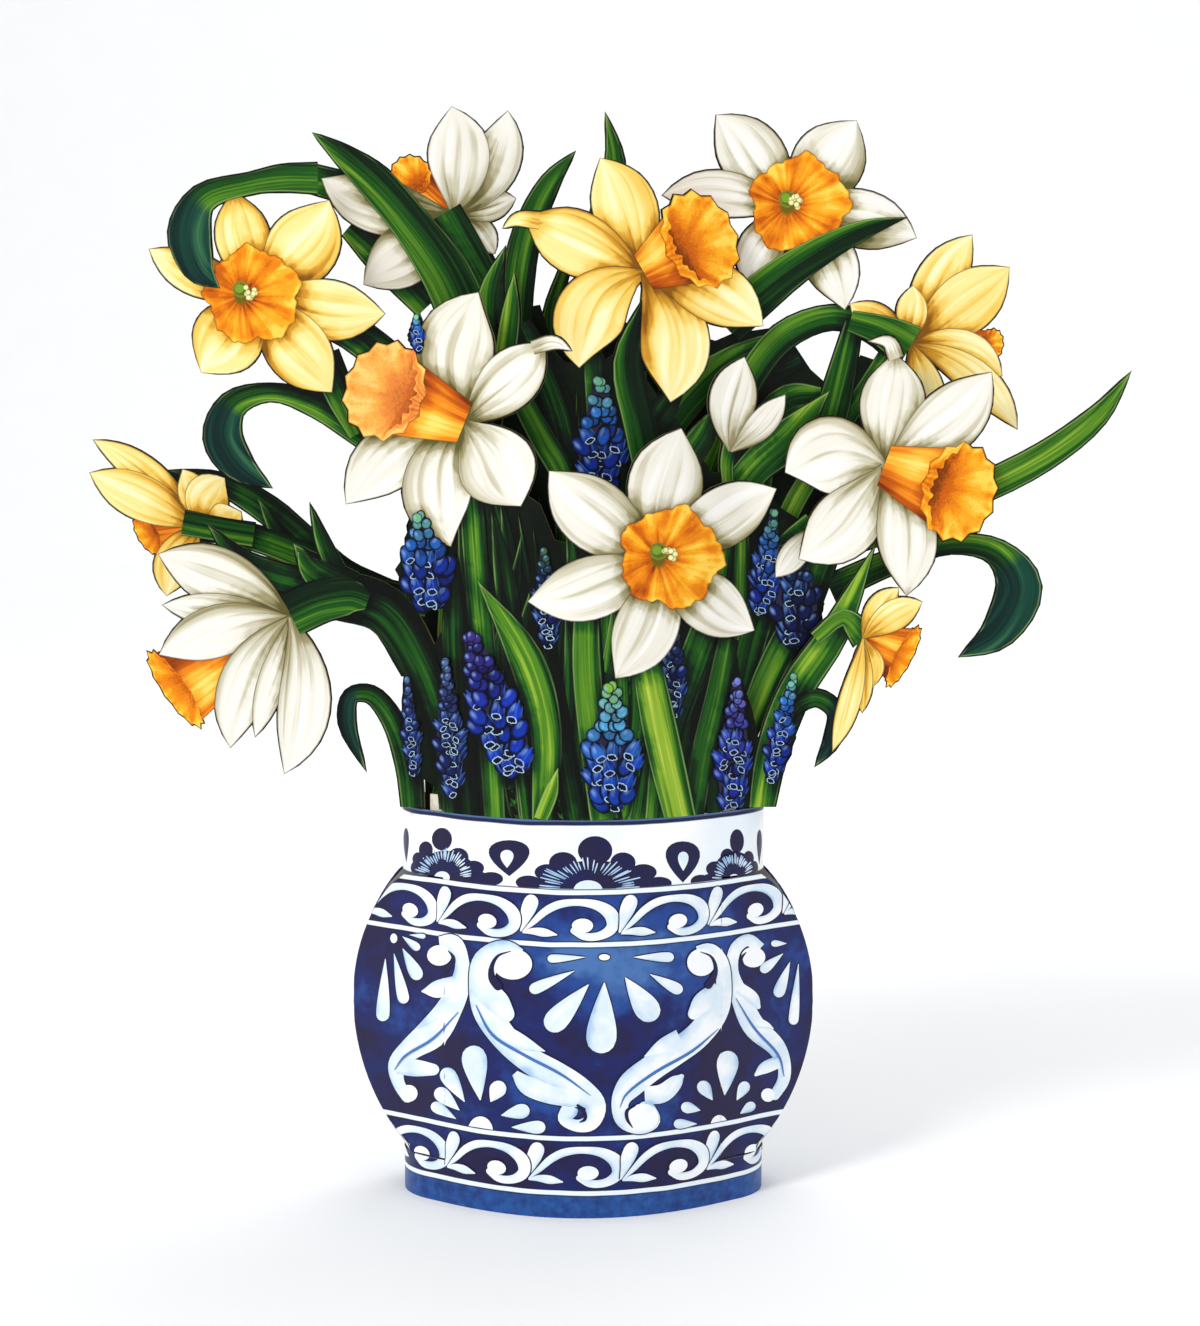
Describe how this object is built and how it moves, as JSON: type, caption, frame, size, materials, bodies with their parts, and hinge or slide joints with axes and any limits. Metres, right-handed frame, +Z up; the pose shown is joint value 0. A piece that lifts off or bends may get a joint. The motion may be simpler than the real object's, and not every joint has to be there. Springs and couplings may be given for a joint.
{
  "type": "pop-up paper daffodil bouquet",
  "caption": "Pop-up bouquet of die-cut card layers showing daffodils, grape hyacinths and leaves, standing in a bowed card vase.",
  "frame": {"origin": "centre of the bottom of the bounding box, on the surface that the vase stands on", "axes": "+Z up, -Y towards the viewer that the front card faces, +X to that viewer's right"},
  "size_m": [0.2956, 0.0726, 0.3068],
  "materials": {
    "vase_card": "printed, satin",
    "spray_card": "printed, satin",
    "plain_card": "uncoated, matte"
  },
  "bodies": {
    "root": {"front_card": "vase_card", "second_card": "spray_card", "third_card": "spray_card", "middle_card": "spray_card", "rear_third_card": "spray_card", "rear_second_card": "spray_card", "rear_card": "vase_card", "upper_left_spacer": "plain_card", "upper_right_spacer": "plain_card", "lower_left_spacer": "plain_card", "lower_right_spacer": "plain_card"}
  },
  "joints": []
}
